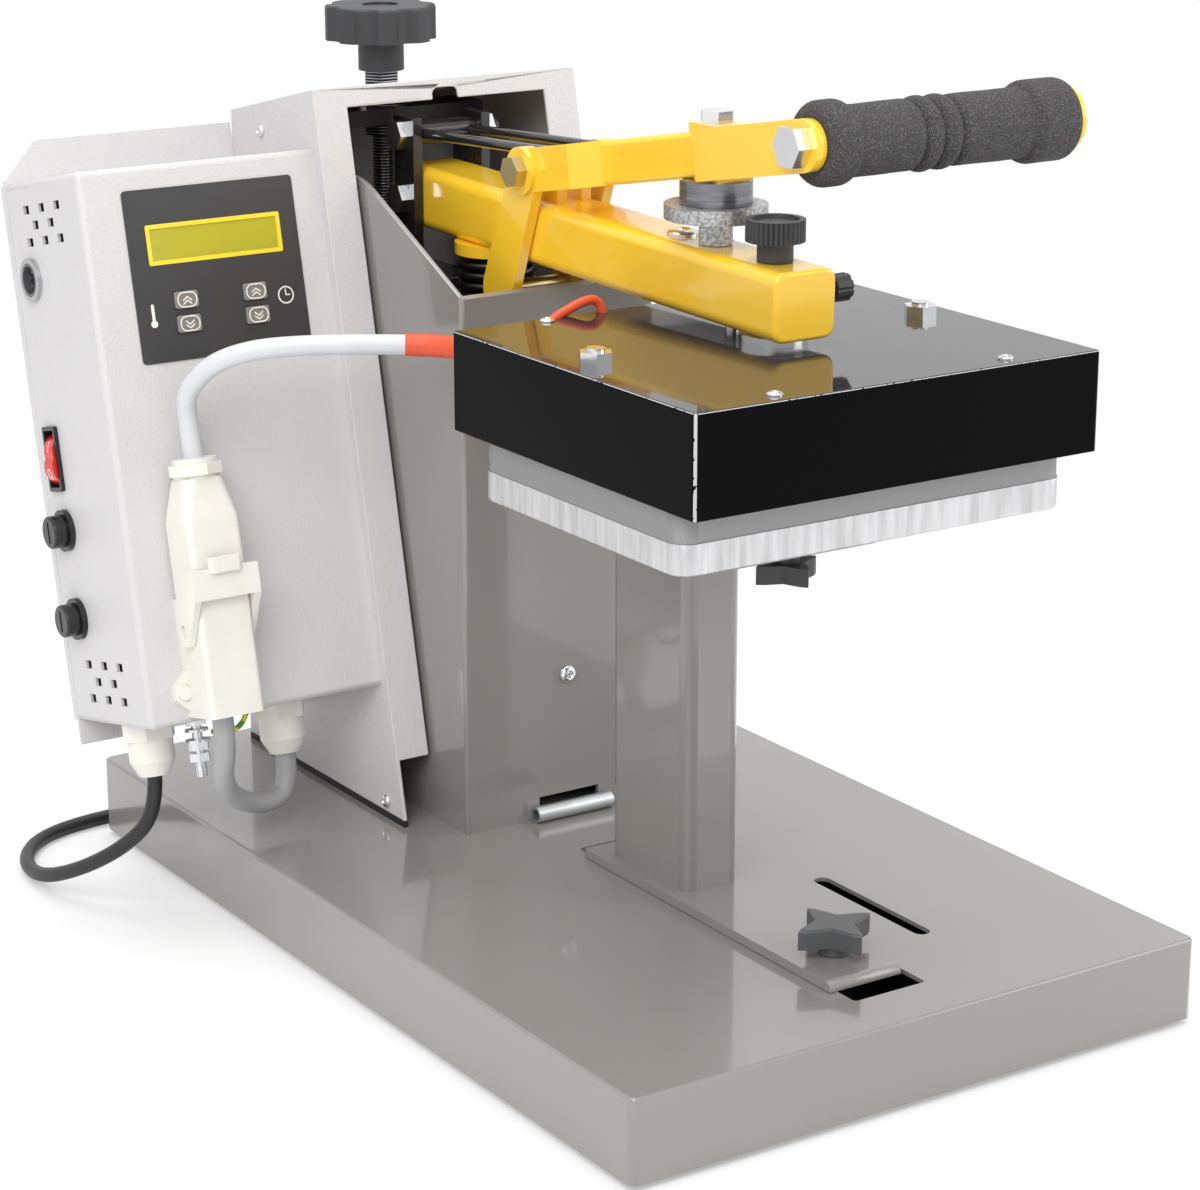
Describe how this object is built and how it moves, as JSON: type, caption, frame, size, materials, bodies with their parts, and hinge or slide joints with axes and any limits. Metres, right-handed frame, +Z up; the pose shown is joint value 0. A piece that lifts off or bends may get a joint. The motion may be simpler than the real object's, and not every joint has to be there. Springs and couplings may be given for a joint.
{
  "type": "auto-open heat press",
  "caption": "Small clamshell heat press: heated platen on a yellow arm over a sliding lower platen, latched by a magnet on the handle, with a control box beside its column.",
  "frame": {"origin": "on the bench surface, under the middle of the base tray", "axes": "+Z up, the operator stands at -Y facing +Y, +X is the operator's right"},
  "size_m": [0.3632, 0.5731, 0.4156],
  "materials": {
    "base_paint": "semi-gloss warm grey enamel",
    "hood_paint": "light grey textured powder coat",
    "yellow_paint": "signal yellow gloss enamel",
    "foot_rubber": "matte black rubber",
    "black_trim": "black edge trim",
    "dark_steel": "dark painted steel",
    "black_steel": "gloss black lacquer",
    "spring_steel": "oiled spring steel",
    "galvanised": "flaky hot-dip galvanised",
    "zinc": "bright zinc plate",
    "yellow_zinc": "yellow passivated zinc",
    "dark_overlay": "dark grey printed film",
    "display": "olive display window in a yellow frame",
    "black_gloss": "black moulded plastic",
    "black_plastic": "matte black moulded plastic",
    "grey_knob": "semi-gloss grey moulded plastic",
    "red_plastic": "red translucent plastic",
    "button_plastic": "light rubber key",
    "cream_plastic": "cream white moulded plastic",
    "socket_metal": "nickel-plated ring round a dark insert",
    "earth_green": "green and yellow insulation",
    "foam": "speckled closed-cell foam",
    "gloss_black": "high-gloss black enamel",
    "plate_aluminium": "cast aluminium with a milled lower edge",
    "silicone": "silicone pad",
    "white_cable": "white cable sheath",
    "red_silicone": "orange-red silicone sleeve",
    "grey_cable": "light grey cable sheath",
    "black_cord": "black cord sheath"
  },
  "bodies": {
    "base": {"base_tray": "base_paint", "box_back_plate": "hood_paint", "box_cover": "hood_paint", "column": "base_paint", "column_brackets": "dark_steel", "connector_hood": "cream_plastic", "connector_housing": "cream_plastic", "control_board": "dark_overlay", "control_overlay": "dark_overlay", "display_window": "display", "earth_stud": "zinc", "earth_wire": "earth_green", "foot_sleeve": "galvanised", "fuse_holders": "black_gloss", "grey_cable": "grey_cable", "harness_gland": "cream_plastic", "heater_cable": "white_cable", "heater_sleeve": "red_silicone", "hood": "hood_paint", "hood_edge_trim": "black_trim", "lift_spring": "spring_steel", "mains_coil": "black_cord", "mains_cord": "black_cord", "mains_gland": "cream_plastic", "mains_plug": "black_cord", "panel_socket": "socket_metal", "rocker_bezel": "black_gloss", "rubber_feet": "foot_rubber"},
    "carriage": {"ladder_plates": "black_steel", "carriage_bolts": "zinc"},
    "spindle": {"pressure_spindle": "zinc", "pressure_knob": "black_plastic"},
    "arm": {"main_arm": "yellow_paint", "armature_disc": "zinc", "platen_cover": "gloss_black", "heating_plate": "plate_aluminium", "plate_posts": "zinc"},
    "lever": {"handle_lever": "yellow_paint", "yoke_bolt": "yellow_zinc", "foam_grip": "foam", "grip_tube": "yellow_paint", "electromagnet": "zinc"},
    "rods": {"guide_rods": "black_steel"},
    "thumb": {"thumb_screw": "black_plastic"},
    "side_screw": {"side_knob": "black_plastic"},
    "slide": {"slide_foot": "base_paint", "pedestal": "base_paint", "lower_platen": "plate_aluminium", "silicone_pad": "silicone"},
    "slide_clamp": {"slide_knob": "grey_knob"},
    "platen_clamp": {"platen_knob": "black_plastic"},
    "rocker": {"rocker_switch": "red_plastic"},
    "fuse_1": {"fuse_cap_1": "black_gloss"},
    "fuse_2": {"fuse_cap_2": "black_gloss"},
    "plug_lock": {"connector_lever": "cream_plastic"},
    "key_1": {"button_1": "button_plastic"},
    "key_2": {"button_2": "button_plastic"},
    "key_3": {"button_3": "button_plastic"},
    "key_4": {"button_4": "button_plastic"}
  },
  "joints": [
    {"name": "carriage_travel", "type": "slide", "parent": "base", "child": "carriage", "axis": [0, 0, 1], "range_m": [0, 0.0075], "deforming": ["lift_spring", "heater_cable", "heater_sleeve"]},
    {"name": "pressure_turn", "type": "hinge", "parent": "base", "child": "spindle", "pos_m": [0, 0.2054, 0], "axis": [0, 0, 1], "range_deg": [0, 1800.1]},
    {"name": "arm_lift", "type": "hinge", "parent": "carriage", "child": "arm", "pos_m": [0, 0.1479, 0.33], "axis": [-1, 0, 0], "range_deg": [0, 30], "deforming": ["lift_spring", "heater_cable", "heater_sleeve"]},
    {"name": "lever_lift", "type": "hinge", "parent": "arm", "child": "lever", "pos_m": [0, 0.0384, 0.358], "axis": [-1, 0, 0], "range_deg": [0, 9.1]},
    {"name": "rod_swing", "type": "hinge", "parent": "carriage", "child": "rods", "pos_m": [0, 0.1479, 0.3605], "axis": [-1, 0, 0], "range_deg": [0, 32.6]},
    {"name": "slide_travel", "type": "slide", "parent": "base", "child": "slide", "axis": [0, 1, 0], "range_m": [-0.01, 0.01]},
    {"name": "slide_knob_turn", "type": "hinge", "parent": "slide", "child": "slide_clamp", "pos_m": [0, -0.175, 0.05], "axis": [0, 0, 1], "range_deg": [0, 270]},
    {"name": "platen_knob_turn", "type": "hinge", "parent": "slide", "child": "platen_clamp", "pos_m": [0, -0.136, 0.21], "axis": [0, 0, 1], "range_deg": [0, 270]},
    {"name": "thumb_screw_turn", "type": "hinge", "parent": "arm", "child": "thumb", "pos_m": [0, -0.1246, 0.35], "axis": [0, 0, 1], "range_deg": [0, 360]},
    {"name": "side_knob_turn", "type": "hinge", "parent": "arm", "child": "side_screw", "pos_m": [0.02, -0.138, 0.329], "axis": [1, 0, 0], "range_deg": [0, 360]},
    {"name": "rocker_tilt", "type": "hinge", "parent": "base", "child": "rocker", "pos_m": [-0.192, 0.18065, 0.21719], "axis": [0, 0.9763, -0.2164], "range_deg": [-14, 0]},
    {"name": "fuse_cap_1_turn", "type": "hinge", "parent": "base", "child": "fuse_1", "pos_m": [-0.2, 0.17132, 0.18433], "axis": [-1, 0, 0], "range_deg": [0, 60]},
    {"name": "fuse_cap_2_turn", "type": "hinge", "parent": "base", "child": "fuse_2", "pos_m": [-0.2, 0.16215, 0.14294], "axis": [-1, 0, 0], "range_deg": [0, 60]},
    {"name": "connector_lever_swing", "type": "hinge", "parent": "base", "child": "plug_lock", "pos_m": [-0.162, 0.08365, 0.15389], "axis": [1, 0, 0], "range_deg": [0, 75]},
    {"name": "button_1_press", "type": "slide", "parent": "base", "child": "key_1", "axis": [0, 0.9763, -0.2164], "range_m": [0, 0.0008], "stiffness_N_per_m": 600, "springref_m": -0.0003},
    {"name": "button_2_press", "type": "slide", "parent": "base", "child": "key_2", "axis": [0, 0.9763, -0.2164], "range_m": [0, 0.0008], "stiffness_N_per_m": 600, "springref_m": -0.0003},
    {"name": "button_3_press", "type": "slide", "parent": "base", "child": "key_3", "axis": [0, 0.9763, -0.2164], "range_m": [0, 0.0008], "stiffness_N_per_m": 600, "springref_m": -0.0003},
    {"name": "button_4_press", "type": "slide", "parent": "base", "child": "key_4", "axis": [0, 0.9763, -0.2164], "range_m": [0, 0.0008], "stiffness_N_per_m": 600, "springref_m": -0.0003}
  ],
  "couplings": [
    {"joint": "pressure_turn", "follows": "carriage_travel", "rad_per_m": 4188.8},
    {"joint": "lever_lift", "follows": "arm_lift", "ratio": 0.3},
    {"joint": "rod_swing", "follows": "arm_lift", "ratio": 1.075}
  ]
}
